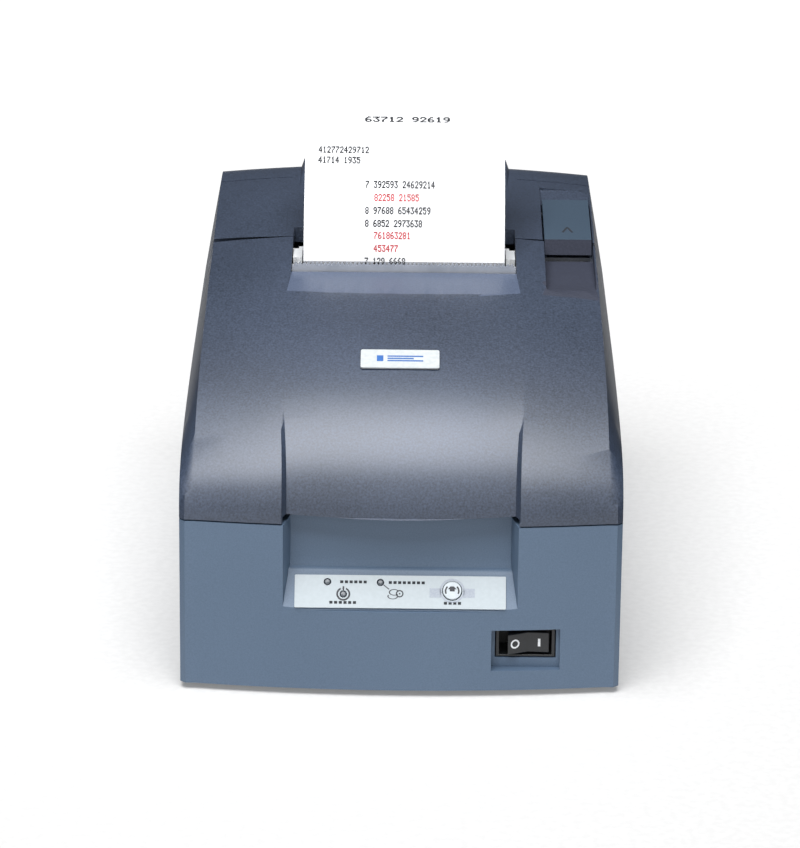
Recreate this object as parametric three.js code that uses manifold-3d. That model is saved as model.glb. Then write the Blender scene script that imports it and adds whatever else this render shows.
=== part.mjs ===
// A desktop dot-matrix receipt printer with its covers, print mechanism, paper roll and a printed
// strip of paper standing out of the tear-off slot.
// Millimetres. +X is the printer's right seen from the front, +Y its rear, +Z up.
// The origin is on the resting surface, in the middle of the footprint.
import * as THREE from "three";
import { mergeVertices } from "three/addons/utils/BufferGeometryUtils.js";
import Module from "manifold-3d";

const wasm = await Module();
wasm.setup();

// ---------------------------------------------------------------- driving dimensions
const width = 160;
const depth = 248;
const footHeight = 3.4;
const caseBottom = 2.5;
const wall = 2.6;
const gap = 0.3;

const seamHeight = 66;
const seamGap = 0.6;
const lipRise = 2.6;
const lipSag = 1.2;
const sideSeamHeight = 92;
const deckHeight = 132;
const crestHeight = 136;
const humpRise = 3.3;
const frontBow = 6;
const cornerDepth = 7;
const deckCrown = 4.7;
const coverSplit = 16.5;
const coverSplitGap = 1.0;

const paperWidth = 76;
const slotMargin = 4.5;
const slotFront = -14.6;
const slotRear = 25;
const scoopFront = -34;
const scoopSideFront = -31;
const tearEdgeHeight = 130.2;
const toothPitch = 1.6;
const toothHeight = 1.3;

const platenRadius = 7;
const platenY = 2;
const platenZ = 112;
const rollRadius = 37;
const rollCoreRadius = 8;
const rollY = 48;
const rollZ = 81;
const stripRadius = 70;
const stripAngle = 58.5;
const paperThickness = 0.3;

const recessHalf = 42.6;
const recessBackHalf = 40;
const panelFoot = 33.6;
const panelRise = 10.5;
const panelLean = 8.5;
const recessDepth = 13;
const labelWidth = 76.5;
const labelHeight = 12.4;
const buttonRadius = 3.4;
const ledRadius = 1.1;

const switchLeft = 33.2;
const switchRight = 58.2;
const switchLow = 10.1;
const switchHigh = 26;
const rockerTilt = 10;

const leverLeft = 53.9;
const leverWidth = 18.1;
const leverFront = 16.2;
const leverLip = 4.8;
const leverRear = 62.5;
const leverPivotY = 54;

const sheet = 1.5;
const shaftRadius = 3;
const carriageHalf = 15;
const pulleyRadius = 6;
const beltHalf = 50;

// ---------------------------------------------------------------- derived places
const halfW = width / 2;
const front = -depth / 2;
const rear = depth / 2;
const slotHalf = paperWidth / 2 + slotMargin;
const cheek = 2;
const hoodRear = coverSplit - coverSplitGap / 2;
const rollFront = coverSplit + coverSplitGap / 2;
const hoodPivot = { y: hoodRear - 3.4, z: deckHeight - 8.1 };
const rollPivot = { y: rear - 2.3, z: sideSeamHeight + 3 };
const platePos = halfW - 17.5;
const leverRight = leverLeft + leverWidth;
const panelSlope = Math.atan2(panelRise, panelLean);
const panelY = front + 1 + panelLean / 2;
const panelZ = panelFoot + panelRise / 2;

// ---------------------------------------------------------------- solids and placement
const xAxis = new THREE.Vector3(1, 0, 0);
const yAxis = new THREE.Vector3(0, 1, 0);
const zAxis = new THREE.Vector3(0, 0, 1);

// A closed geometry becomes a solid that can be cut and joined.
function solid(geometry) {
  const bare = geometry.index ? geometry.clone() : geometry;
  bare.deleteAttribute("normal");
  bare.deleteAttribute("uv");
  const merged = mergeVertices(bare, 1e-4);
  return new wasm.Manifold(
    new wasm.Mesh({
      numProp: 3,
      vertProperties: new Float32Array(merged.attributes.position.array),
      triVerts: new Uint32Array(merged.index.array),
    }),
  );
}

function extruded(points, length) {
  const shape = points instanceof THREE.Shape ? points : polygon(points);
  return new THREE.ExtrudeGeometry(shape, { depth: length, bevelEnabled: false, curveSegments: 8 });
}

function polygon(points) {
  return new THREE.Shape(points.map(([u, v]) => new THREE.Vector2(u, v)));
}

// Prism of a (y, z) outline between two x values.
function prismX(points, x0, x1) {
  const g = extruded(points, x1 - x0);
  g.applyMatrix4(new THREE.Matrix4().makeBasis(yAxis, zAxis, xAxis).setPosition(x0, 0, 0));
  return solid(g);
}

// Prism of an (x, z) outline between two y values.
function prismY(points, y0, y1) {
  const g = extruded(points, y1 - y0);
  const back = yAxis.clone().negate();
  g.applyMatrix4(new THREE.Matrix4().makeBasis(xAxis, zAxis, back).setPosition(0, y1, 0));
  return solid(g);
}

// Prism of an (x, y) outline between two z values.
function prismZ(points, z0, z1) {
  return solid(extruded(points, z1 - z0).translate(0, 0, z0));
}

function box(x0, x1, y0, y1, z0, z1) {
  const g = new THREE.BoxGeometry(x1 - x0, y1 - y0, z1 - z0);
  return solid(g.translate((x0 + x1) / 2, (y0 + y1) / 2, (z0 + z1) / 2));
}

function rodX(radius, x0, x1, y, z, sides = 24) {
  const g = new THREE.CylinderGeometry(radius, radius, x1 - x0, sides).rotateZ(Math.PI / 2);
  return solid(g.translate((x0 + x1) / 2, y, z));
}

function rodY(radius, y0, y1, x, z, sides = 24) {
  const g = new THREE.CylinderGeometry(radius, radius, y1 - y0, sides);
  return solid(g.translate(x, (y0 + y1) / 2, z));
}

function rodZ(radius, z0, z1, x, y, sides = 24) {
  const g = new THREE.CylinderGeometry(radius, radius, z1 - z0, sides).rotateX(Math.PI / 2);
  return solid(g.translate(x, y, (z0 + z1) / 2));
}

function roundedRect(u0, u1, v0, v1, r) {
  const s = new THREE.Shape();
  s.moveTo(u0 + r, v0).lineTo(u1 - r, v0).absarc(u1 - r, v0 + r, r, -Math.PI / 2, 0, false);
  s.lineTo(u1, v1 - r).absarc(u1 - r, v1 - r, r, 0, Math.PI / 2, false);
  s.lineTo(u0 + r, v1).absarc(u0 + r, v1 - r, r, Math.PI / 2, Math.PI, false);
  s.lineTo(u0, v0 + r).absarc(u0 + r, v0 + r, r, Math.PI, Math.PI * 1.5, false);
  return s;
}

// A spur gear or toothed pulley outline.
function gearShape(radius, teeth, toothDepth) {
  const points = [];
  const root = radius - toothDepth;
  for (let i = 0; i < teeth; i += 1) {
    for (const [part, r] of [[0, root], [0.25, radius], [0.5, radius], [0.75, root]]) {
      const a = ((i + part) / teeth) * Math.PI * 2;
      points.push([r * Math.cos(a), r * Math.sin(a)]);
    }
  }
  return polygon(points);
}

function gearX(radius, teeth, toothDepth, x0, x1, y, z) {
  const g = extruded(gearShape(radius, teeth, toothDepth), x1 - x0);
  g.applyMatrix4(new THREE.Matrix4().makeBasis(yAxis, zAxis, xAxis).setPosition(x0, y, z));
  return solid(g);
}

// Joins both mirror images of a solid about the middle plane.
function mirrored(make) {
  return make(1).add(make(-1));
}

function spanX(side, a, b) {
  return side > 0 ? [a, b] : [-b, -a];
}

const printer = new THREE.Group();

function addPart(name, body, material) {
  const mesh = body.getMesh();
  const g = new THREE.BufferGeometry();
  g.setAttribute("position", new THREE.BufferAttribute(new Float32Array(mesh.vertProperties), 3));
  g.setIndex(new THREE.BufferAttribute(new Uint32Array(mesh.triVerts), 1));
  g.computeVertexNormals();
  const part = new THREE.Mesh(g, material.clone());
  part.name = name;
  printer.add(part);
}

function finish(color, roughness, metalness = 0) {
  return new THREE.MeshStandardMaterial({ color, roughness, metalness });
}

const casePlastic = finish(0x667a8d, 0.5);
const coverPlastic = finish(0x556478, 0.45);
const leverPlastic = finish(0x4d5c6b, 0.45);
const blackPlastic = finish(0x1b1d20, 0.5);
const whitePlastic = finish(0xe9ecef, 0.5);
const labelFilm = finish(0xdfe3e6, 0.4);
const steel = finish(0xb9bdc2, 0.35, 1);
const rubber = finish(0x26272a, 0.9);
const paper = finish(0xf7f7f5, 0.9);
const board = finish(0x2c5a3c, 0.6);
const copper = finish(0x8a8d92, 0.4, 0.8);

// ---------------------------------------------------------------- the outer form
// Side profile of the middle of the case, and of the line where its side walls turn in.
// Both are lists of the same stations, so a skin is lofted between them across the width.
function stations(inset) {
  const rise = new THREE.CubicBezierCurve(
    new THREE.Vector2(front, seamHeight + 2),
    new THREE.Vector2(front, seamHeight + 26),
    new THREE.Vector2(front + 42, crestHeight - 20),
    new THREE.Vector2(-12, deckHeight - 2.5),
  );
  const sideRise = new THREE.CubicBezierCurve(
    new THREE.Vector2(front + cornerDepth, seamHeight + 2),
    new THREE.Vector2(front + cornerDepth, seamHeight + 20),
    new THREE.Vector2(front + 26, sideSeamHeight - 2),
    new THREE.Vector2(-12, sideSeamHeight),
  );
  const fall = new THREE.CubicBezierCurve(
    new THREE.Vector2(rear - 34, crestHeight),
    new THREE.Vector2(rear - 12, crestHeight),
    new THREE.Vector2(rear, crestHeight - 14),
    new THREE.Vector2(rear, crestHeight - 38),
  );
  const sideFall = new THREE.CubicBezierCurve(
    new THREE.Vector2(rear - 34, sideSeamHeight),
    new THREE.Vector2(rear - 16, sideSeamHeight),
    new THREE.Vector2(rear - 7, sideSeamHeight - 1),
    new THREE.Vector2(rear - 7, sideSeamHeight - 8),
  );
  const bottom = inset > 0 ? -10 : caseBottom;
  const riseSteps = 22;
  const fallSteps = 12;
  const list = [];
  const put = (mid, side, bow, round) => list.push({ mid, side, bow, round });
  const side = front + cornerDepth;
  for (const z of [bottom, seamHeight / 2, seamHeight]) {
    put(new THREE.Vector2(front, z), new THREE.Vector2(side, z), frontBow, 1.3);
  }
  for (let i = 0; i <= riseSteps; i += 1) {
    const t = i / riseSteps;
    const bow = frontBow + (deckCrown - frontBow) * t;
    put(rise.getPoint(t), sideRise.getPoint(t), bow, 1.3 * Math.max(0, 1 - 2 * t));
  }
  for (const t of [0.12, 0.24, 0.42, 0.62, 0.82]) {
    const y = -12 + (rear - 22) * t;
    const z = deckHeight - 2.5 + (crestHeight - deckHeight + 2.5) * Math.sin((t * Math.PI) / 2);
    put(new THREE.Vector2(y, z), new THREE.Vector2(y, sideSeamHeight), deckCrown, 0);
  }
  for (let i = 0; i <= fallSteps; i += 1) {
    const t = i / fallSteps;
    put(fall.getPoint(t), sideFall.getPoint(t), deckCrown * (1 - t) + 2 * t, 1.3 * t);
  }
  put(new THREE.Vector2(rear, bottom), new THREE.Vector2(rear - 7, bottom), 2, 1.3);
  for (const key of ["mid", "side"]) {
    const points = list.map((s) => s[key].clone());
    list.forEach((s, i) => {
      const a = points[Math.max(i - 1, 0)];
      const b = points[Math.min(i + 1, points.length - 1)];
      const along = b.clone().sub(a).normalize();
      const inward = new THREE.Vector2(along.y, -along.x);
      s[key] = points[i].clone().addScaledVector(inward, inset);
      if (key === "mid") s.inward = inward;
      if (i === 0 || i === points.length - 1) s[key].y = bottom;
    });
  }
  return list;
}

function smooth(a, b, v) {
  const t = Math.min(Math.max((v - a) / (b - a), 0), 1);
  return t * t * (3 - 2 * t);
}

// How far the middle of the skin is pressed in (front cover) or raised (rear hump).
function relief(point) {
  const onHood = point.x < 0 && point.y > seamHeight + 1;
  const pressed = onHood ? pressDepth * (1 - smooth(seamHeight + 6, pressTop, point.y)) : 0;
  const raised = humpRise * smooth(rear - 40, rear - 30, point.x) * smooth(102, 118, point.y);
  return pressed - raised;
}

const pressDepth = 4.5;
const pressTop = 108;
const creaseFront = halfW - 5;
const creaseRear = halfW - 6.9;
const pressLow = [41.3, 43];
const pressHigh = [44.4, 45.3];
const humpSide = [40.3, 41.5];

// Foot and top of the step at the side of the pressed middle. It widens as the front cover rises,
// and at the rear the same two lines are the sides of the hump.
function pressEdges(y) {
  const rising = smooth(front, -70, y);
  const passing = smooth(-12, 60, y);
  return pressLow.map((low, i) => {
    const x = low + (pressHigh[i] - low) * rising;
    return x + (humpSide[i] - x) * passing;
  });
}

function creaseX(y) {
  const t = smooth(front, 10, y);
  return creaseFront + (creaseRear - creaseFront) * t;
}

// The whole closed body of the case, or the same body drawn in by the wall.
function form(inset) {
  const list = stations(inset);
  const rows = list.map((s) => {
    const crease = creaseX(s.mid.x) - inset * 0.6;
    const edge = halfW - inset;
    const half = [];
    const [foot, edgeOfPress] = pressEdges(s.mid.x);
    for (const x of [0, 14, 28, foot, edgeOfPress, 52, 62, crease]) {
      const sink = s.bow * (x / halfW) ** 2 + (x <= foot ? relief(s.mid) : 0);
      const p = s.mid.clone().addScaledVector(s.inward, sink);
      half.push([x, p.x, s === list[0] || s === list.at(-1) ? s.mid.y : p.y]);
    }
    const last = half.at(-1);
    const out = s.round * 0.7;
    const ends = Math.abs(s.mid.x) > 90 ? Math.sign(s.mid.x) : 0;
    half.push([
      (crease + edge) / 2 + out * 0.6,
      (last[1] + s.side.x) / 2 + out * ends,
      (last[2] + s.side.y) / 2,
    ]);
    half.push([edge, s.side.x, s.side.y]);
    const left = half.slice(1).map(([x, y, z]) => [-x, y, z]).reverse();
    return [...left, ...half];
  });
  const columns = rows[0].length;
  const positions = rows.flat(2);
  const at = (i, j) => i * columns + j;
  const index = [];
  for (let i = 0; i < rows.length; i += 1) {
    const n = (i + 1) % rows.length;
    for (let j = 0; j < columns - 1; j += 1) {
      index.push(at(i, j), at(i, j + 1), at(n, j + 1), at(i, j), at(n, j + 1), at(n, j));
    }
  }
  for (const j of [0, columns - 1]) {
    const outline = rows.map((r) => new THREE.Vector2(r[j][1], r[j][2]));
    for (const face of THREE.ShapeUtils.triangulateShape(outline, [])) {
      const facesRight = THREE.ShapeUtils.area(face.map((k) => outline[k])) > 0;
      if (facesRight !== j > 0) face.reverse();
      index.push(...face.map((k) => at(k, j)));
    }
  }
  const g = new THREE.BufferGeometry();
  g.setAttribute("position", new THREE.Float32BufferAttribute(positions, 3));
  g.setIndex(index);
  return solid(g);
}

const outer = form(0);
const shell = outer.subtract(form(wall));

// Height of the deck's outer surface over a point near the middle of the covers.
function deckZ(x, y) {
  const list = stations(0);
  const i = list.findIndex((s, k) => k > 0 && s.mid.x >= y);
  const a = list[i - 1].mid;
  const b = list[i].mid;
  return a.y + ((b.y - a.y) * (y - a.x)) / (b.x - a.x) - deckCrown * (x / halfW) ** 2;
}

// Sinks a pocket into a shell: a backing pan inside the outer form, then the pocket itself.
function sink(body, pocket, pan) {
  return body.add(pan.intersect(outer)).subtract(pocket);
}

// ---------------------------------------------------------------- case and covers
const far = 400;
const belowSeam = prismX(
  [[-far, -20], [far, -20], [far, sideSeamHeight], [rollFront, sideSeamHeight],
    [rollFront, seamHeight - seamGap / 2], [-far, seamHeight - seamGap / 2]],
  -far, far,
);
const rearGap = box(-far, far, rear - 12, far, sideSeamHeight - 0.6, far);

function panelFrame(body, u, v, out) {
  // Places a piece drawn flat (x across, y up the panel, z out of it) on the leaning panel.
  const up = new THREE.Vector3(0, Math.cos(panelSlope), Math.sin(panelSlope));
  const outward = new THREE.Vector3(0, -Math.sin(panelSlope), Math.cos(panelSlope));
  const place = new THREE.Matrix4().makeBasis(xAxis, up, outward);
  const origin = new THREE.Vector3(u, panelY, panelZ).addScaledVector(up, v).addScaledVector(outward, out);
  return body.transform(place.setPosition(origin).toArray());
}

const lights = [
  ["led_error", -26.4, 3.6],
  ["led_paper_out", -7.2, 3.5],
  ["led_power", -20.6, -1],
];
const buttonPlace = [18.8, 0.6];
const panWall = 2.2;
const boardFace = front + recessDepth + wall + gap;
const labelLift = gap;
const labelThick = 0.5;

function panelHoles(clearance) {
  let holes = panelFrame(rodZ(buttonRadius + clearance, -6, 4, 0, 0), ...buttonPlace, 0);
  for (const [, u, v] of lights) {
    holes = holes.add(panelFrame(rodZ(ledRadius + clearance, -6, 4, 0, 0, 16), u, v, 0));
  }
  return holes;
}

// The finger recess: the leaning panel, a rounded ledge above it and the upright back.
const ledgeY = front + 1 + panelLean;
const ledgeZ = panelFoot + panelRise;
const recessBack = front + recessDepth;
const frontRecess = prismX(
  [[-far, panelFoot - 0.4], [front + 1, panelFoot - 0.4], [front + 1, panelFoot], [ledgeY, ledgeZ],
    [ledgeY + 0.5, ledgeZ + 1], [ledgeY + 1.4, ledgeZ + 1.7], [recessBack - 1, ledgeZ + 2.1],
    [recessBack, ledgeZ + 6], [recessBack, far], [-far, far]],
  -recessHalf, recessHalf,
).intersect(prismZ(
  [[-recessHalf, -far], [recessHalf, -far], [recessHalf, front + 1], [recessBackHalf, recessBack],
    [-recessBackHalf, recessBack], [-recessHalf, front + 1]],
  0, far,
));
const recessPan = prismX(
  [[front - 1, panelFoot - 3], [front + 3, panelFoot - 3], [ledgeY + 2, ledgeZ - 2.4],
    [recessBack + wall, ledgeZ - 2], [recessBack + wall, seamHeight - seamGap / 2],
    [front - 1, seamHeight - seamGap / 2]],
  -recessHalf - panWall, recessHalf + panWall,
);

const switchDepth = 3.6;
const switchFace = front + 2 + switchDepth;
const apertureLeft = switchLeft + 1.4;
const apertureRight = switchRight - 1.4;
const apertureLow = switchLow + 3.65;
const apertureHigh = switchHigh - 0.5;
const switchPocket = box(switchLeft, switchRight, front - 5, switchFace, switchLow, switchHigh);
const switchPan = box(
  switchLeft - 2, switchRight + 2, front - 5, switchFace + panWall, switchLow - 2, switchHigh + 2,
);
const switchHole = box(apertureLeft, apertureRight, front - 5, -100, apertureLow, apertureHigh);

const bayHalf = 46;
const bayLow = 9;
const bayHigh = 42;
const hingeOffsets = [50, 58];

// Posts inside the case that take the four screws of the base plate.
const screwX = halfW - 10;
const screwInset = 24;
const screwHoleRadius = 1.8;
const corners = [[-1, -1], [1, -1], [-1, 1], [1, 1]];

function cornerY(sy, inset) {
  return sy < 0 ? front + inset : rear - inset;
}

function screwPosts() {
  const low = 5.6;
  const high = 24;
  const posts = corners.map(([sx, sy]) => {
    const y = cornerY(sy, screwInset);
    return rodZ(4, low, high, sx * screwX, y)
      .add(box(...spanX(sx, screwX + 2, halfW - 2), y - 1, y + 1, low, high))
      .subtract(rodZ(screwHoleRadius, 0, high - 6, sx * screwX, y, 12));
  });
  return wasm.Manifold.union(posts);
}

function coverLug(side) {
  const [x0, x1] = spanX(side, hingeOffsets[0] + 4.2, hingeOffsets[1] - 0.2);
  const lug = prismX(
    [[rear - 4.6, sideSeamHeight - 8], [rear, sideSeamHeight - 8], [rear, rollPivot.z],
      [rear - 0.6, rollPivot.z + 1.6], [rear - 2.3, rollPivot.z + 2.3], [rear - 4, rollPivot.z + 1.6],
      [rear - 4.6, rollPivot.z]],
    x0, x1,
  );
  return lug.subtract(rodX(1.5, -far, far, rollPivot.y, rollPivot.z, 16));
}

const coverLugs = mirrored(coverLug);
const lowerCase = sink(
  sink(shell.intersect(belowSeam).subtract(rearGap), frontRecess, recessPan.intersect(belowSeam)),
  switchPocket.add(switchHole), switchPan,
)
  .subtract(panelHoles(gap))
  .subtract(box(-bayHalf, bayHalf, rear - 12, far, bayLow, bayHigh))
  .add(screwPosts().intersect(outer))
  .add(coverLugs);
addPart("lower_case", lowerCase, casePlastic);

// Front cover: everything above the seam and ahead of the split, with the notch for the slot.
const hoodRegion = box(-far, far, -far, hoodRear, seamHeight + seamGap / 2, far);
const scoopDeck = deckZ(0, scoopFront);
const scoopFloor = scoopDeck + 2.2;
const scoopFlare = 1.6;

// The sloping facet ahead of the slot. It starts on the crowned cover and ends at a level edge, so
// it is cut as a row of wedges, side by side across the slot.
function facetWedges() {
  const columns = 12;
  const half = slotHalf + scoopFlare;
  const section = (x) => {
    const share = (x / half) ** 2;
    const y = scoopFront + (scoopSideFront - scoopFront) * share;
    const z = deckZ(x, y);
    return [[x, y, z], [x, y - 6, z + 30], [x, slotFront + 1, scoopFloor], [x, slotFront + 1, z + 30]];
  };
  const wedges = [];
  for (let i = 0; i < columns; i += 1) {
    const x0 = -half + (2 * half * i) / columns;
    const x1 = -half + (2 * half * (i + 1)) / columns;
    wedges.push(wasm.Manifold.hull([...section(x0), ...section(x1)]));
  }
  return wasm.Manifold.union(wedges);
}

const slotNotch = facetWedges().add(box(-far, far, slotFront, far, 90, far)).intersect(prismZ(
  [[-slotHalf - scoopFlare, scoopFront - 20], [slotHalf + scoopFlare, scoopFront - 20],
    [slotHalf + scoopFlare, scoopFront], [slotHalf, slotFront], [slotHalf, far], [-slotHalf, far],
    [-slotHalf, slotFront], [-slotHalf - scoopFlare, scoopFront]],
  0, far,
));
const notchPan = prismX(
  [[scoopFront - 3, scoopDeck - 4], [slotFront, scoopFloor - 2.4], [slotFront, hoodPivot.z - 3],
    [hoodRear, hoodPivot.z - 3], [hoodRear, far], [scoopFront - 3, far]],
  -slotHalf - cheek, slotHalf + cheek,
);
const scoopEnd = -28;
const scoopLeft = leverLeft - 0.4;
const scoopRight = leverRight + 0.5;
const leverScoop = prismX(
  [[scoopEnd, far], [scoopEnd, deckZ(63, scoopEnd) - 0.6], [-24, 123.4], [-18, 122.2], [-10, 121.9],
    [far, 121.9], [far, far]],
  scoopLeft, scoopRight,
).intersect(prismZ(roundedRect(scoopLeft, scoopRight, scoopEnd, 60, 4), 0, far));
const leverScoopPan = prismX(
  [[scoopEnd - 2, far], [scoopEnd - 2, 121.4], [-22, 119.9], [hoodRear, 119.9], [hoodRear, far]],
  scoopLeft - 1.6, scoopRight + 1.6,
);

function hoodEar(side) {
  const [x0, x1] = spanX(side, slotHalf + 6.4, slotHalf + 8.6);
  const { y, z } = hoodPivot;
  const ear = prismX(
    [[y - 2.8, 130], [y - 2.8, z - 1.6], [y - 1.2, z - 2.8], [y + 1.2, z - 2.8], [y + 2.8, z - 1.6],
      [y + 2.8, 130]],
    x0, x1,
  );
  return ear.subtract(rodX(1.55, -far, far, y, z, 16));
}

// The lip over the finger recess stands a little higher than the seam beside it, and hangs lowest
// in its middle.
function lipRelief() {
  const steps = 12;
  const edge = [];
  for (let i = 0; i <= steps; i += 1) {
    const across = 1 - (2 * i) / steps;
    edge.push([recessHalf * across, seamHeight + lipRise - lipSag * (1 - across ** 2)]);
  }
  return prismY([[-recessHalf, 0], [recessHalf, 0], ...edge], -far, 0);
}

const frontCover = sink(
  sink(shell.intersect(hoodRegion), slotNotch, notchPan.intersect(hoodRegion)),
  leverScoop, leverScoopPan,
).add(mirrored(hoodEar).intersect(outer)).subtract(slotNotch).subtract(lipRelief());
addPart("front_cover", frontCover, coverPlastic);

// Roll cover: the deck and the upper rear of the case.
const rollRegion = box(-far, far, rollFront, far, sideSeamHeight + 0.6, far);
const hoodSweep = rodX(7.95, -far, far, hoodPivot.y, hoodPivot.z, 48);
const slotBack = box(-slotHalf, slotHalf, -far, slotRear, 90, far);
const slotBackPan = box(-slotHalf - cheek, slotHalf + cheek, rollFront, slotRear + 2.2, 125.8, far);
const leverPocket = prismX(
  [[-far, far], [-far, 121.9], [rollFront, 121.9], [leverRear + 1, 124.8], [leverRear + 1, 129.8],
    [leverRear + 12, deckZ(63, leverRear + 12) - 0.3], [leverRear + 12, far]],
  leverLeft - 0.8, leverRight + 0.5,
);
const leverPan = prismX(
  [[rollFront, 119.9], [leverRear + 3, 122.8], [leverRear + 3, 127.8], [leverRear + 14, 131],
    [leverRear + 14, far], [rollFront, far]],
  leverLeft - 2.8, leverRight + 2.3,
);
// A fine line across each shoulder where the rear of the cover begins.
const creaseGroove = mirrored((side) => {
  const [x0, x1] = spanX(side, slotHalf + 2, halfW + 5);
  return box(x0, x1, rear - 41.2, rear - 40.6, sideSeamHeight + 14, far).subtract(form(0.6));
});

function coverKnuckle(side, from, to) {
  const [x0, x1] = spanX(side, from, to);
  const { y, z } = rollPivot;
  return rodX(2.2, x0, x1, y, z, 24).add(box(x0, x1, y, rear - 0.4, z, z + 8));
}

const knuckles = mirrored((side) => coverKnuckle(side, hingeOffsets[0] - 2, hingeOffsets[0] + 3.6).add(
  coverKnuckle(side, hingeOffsets[1] + 0.4, hingeOffsets[1] + 6),
)).subtract(rodX(1.5, -far, far, rollPivot.y, rollPivot.z, 16));
const lugRoom = mirrored((side) => {
  const [x0, x1] = spanX(side, hingeOffsets[0] - 2.4, hingeOffsets[1] + 6.4);
  return box(x0, x1, rear - 6, far, 80, rollPivot.z + 3.2);
});
const rollCover = sink(
  sink(shell.intersect(rollRegion), slotBack, slotBackPan.intersect(rollRegion)),
  leverPocket, leverPan.intersect(rollRegion),
)
  .subtract(hoodSweep.subtract(box(-slotHalf, slotHalf, -far, far, 0, far)))
  .subtract(rodX(1.6, leverLeft - 2.3, leverRight, leverPivotY, leverPinZ(), 16))
  .subtract(creaseGroove)
  .subtract(lugRoom)
  .add(knuckles);
addPart("roll_cover", rollCover, coverPlastic);

function leverPinZ() {
  return deckZ(63, leverPivotY) - 3.4;
}

// ---------------------------------------------------------------- lever, badge and pins
function leverBody() {
  const z = leverPinZ();
  const topAt = (y) => [y, deckZ(63, y)];
  const lip = topAt(leverFront)[1];
  const top = [leverRear, 45, 30, leverFront + 3.6].map(topAt);
  const under = [[leverFront, lip - leverLip], [leverFront + 2, lip - leverLip - 0.2],
    [leverFront + 5, lip - 3],
    [leverPivotY - 3.4, z + 0.6], [leverPivotY - 2, z - 2.2], [leverPivotY + 2, z - 2.2],
    [leverPivotY + 3, z + 0.4], [leverRear, z + 1.2]];
  return prismX([...under, ...top], leverLeft, leverRight)
    .subtract(rodX(1.6, -far, far, leverPivotY, z, 16));
}

addPart("open_lever", leverBody(), leverPlastic);
addPart("lever_pin", rodX(1.3, leverLeft - 2.1, leverRight - 0.6, leverPivotY, leverPinZ(), 16), steel);

const badgeY = front + 50;
const badgeX = -1;
const badgeTilt = Math.atan2(deckZ(0, badgeY + 4) - deckZ(0, badgeY - 4), 8);

function badgePlate() {
  const plate = solid(extruded(roundedRect(-14.4, 14.4, -5, 5, 0.8), 0.6));
  const place = new THREE.Matrix4().makeRotationX(badgeTilt);
  return plate.transform(place.setPosition(badgeX, badgeY, deckZ(0, badgeY) + 0.35).toArray());
}

addPart("badge", badgePlate(), labelFilm);

for (const [name, side] of [["left", -1], ["right", 1]]) {
  const [h0, h1] = spanX(side, slotHalf + 3.8, slotHalf + 8.5);
  addPart("hood_pin_" + name, rodX(1.25, h0, h1, hoodPivot.y, hoodPivot.z, 16), steel);
  const [r0, r1] = spanX(side, hingeOffsets[0] - 1.6, hingeOffsets[1] + 5.6);
  addPart("cover_pin_" + name, rodX(1.2, r0, r1, rollPivot.y, rollPivot.z, 16), steel);
}

// ---------------------------------------------------------------- base, feet and screws
const plateTop = 5.2;

function basePlate() {
  const outline = roundedRect(-halfW + 6, halfW - 6, front + 12, rear - 9, 4);
  const holes = corners.map(
    ([sx, sy]) => rodZ(screwHoleRadius, 0, 20, sx * screwX, cornerY(sy, screwInset), 12),
  );
  return prismZ(outline, footHeight + gap, plateTop).subtract(wasm.Manifold.union(holes));
}

function foot([sx, sy]) {
  return rodZ(8, 0, footHeight, sx * (halfW - 18), cornerY(sy, 40), 32);
}

function baseScrew([sx, sy]) {
  const y = cornerY(sy, screwInset);
  return rodZ(2.9, 1.8, footHeight, sx * screwX, y, 20)
    .add(rodZ(1.4, footHeight - 0.5, 15, sx * screwX, y, 12));
}

addPart("base_plate", basePlate(), steel);
corners.forEach((corner, i) => {
  addPart("foot_" + (i + 1), foot(corner), rubber);
  addPart("base_screw_" + (i + 1), baseScrew(corner), steel);
});

// ---------------------------------------------------------------- front panel
function panelLabel() {
  const u = labelWidth / 2;
  const v = labelHeight / 2;
  const film = prismZ(roundedRect(-u, u, -v, v, 0.4), 0, labelThick);
  return panelFrame(film, 0, 0, labelLift).subtract(panelHoles(gap));
}

addPart("panel_label", panelLabel(), labelFilm);
for (const [name, u, v] of lights) {
  addPart(name, panelFrame(rodZ(ledRadius, -3, 0.9, 0, 0, 16), u, v, 0), blackPlastic);
}
addPart("feed_button", panelFrame(rodZ(buttonRadius, -3, 1.4, 0, 0), ...buttonPlace, 0), labelFilm);
addPart("panel_board", box(-36, 36, boardFace, boardFace + 1.6, panelFoot - 6, seamHeight - 12), board);

// ---------------------------------------------------------------- power switch
const switchX = (apertureLeft + apertureRight) / 2;
const switchZ = (apertureLow + apertureHigh) / 2;
const rockerY = switchFace + 5;

function switchHousing() {
  const around = (halfX, y0, y1, halfZ) => box(
    switchX - halfX, switchX + halfX, y0, y1, switchZ - halfZ, switchZ + halfZ,
  );
  const halfX = (apertureRight - apertureLeft) / 2 - gap;
  const halfZ = (apertureHigh - apertureLow) / 2 - gap;
  const well = around(halfX - 1.3, switchFace - 1, switchFace + 11.5, halfZ - 0.8);
  return around(halfX, switchFace + gap, switchFace + 20, halfZ).subtract(well);
}

function rocker() {
  const turned = extruded(
    polygon([[-7.7, -6.4], [0, -4.6], [7.7, -6.4], [6, 1.5], [0, 3], [-6, 1.5]]), 7.8,
  ).rotateZ((rockerTilt * Math.PI) / 180).translate(switchX, rockerY, switchZ - 3.9);
  return solid(turned);
}

addPart("switch_housing", switchHousing(), blackPlastic);
addPart("rocker", rocker(), blackPlastic);

// ---------------------------------------------------------------- print mechanism frame
const shaftPlaces = [
  { name: "guide_shaft_rear", y: -34, z: 86 },
  { name: "guide_shaft_front", y: -62, z: 82 },
];
const beltZ = 64;
const beltY = [-74.7, -71.3];
const bracketX = [slotHalf + 4.5, slotHalf + 6];
const chassisFront = front + 32;

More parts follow.
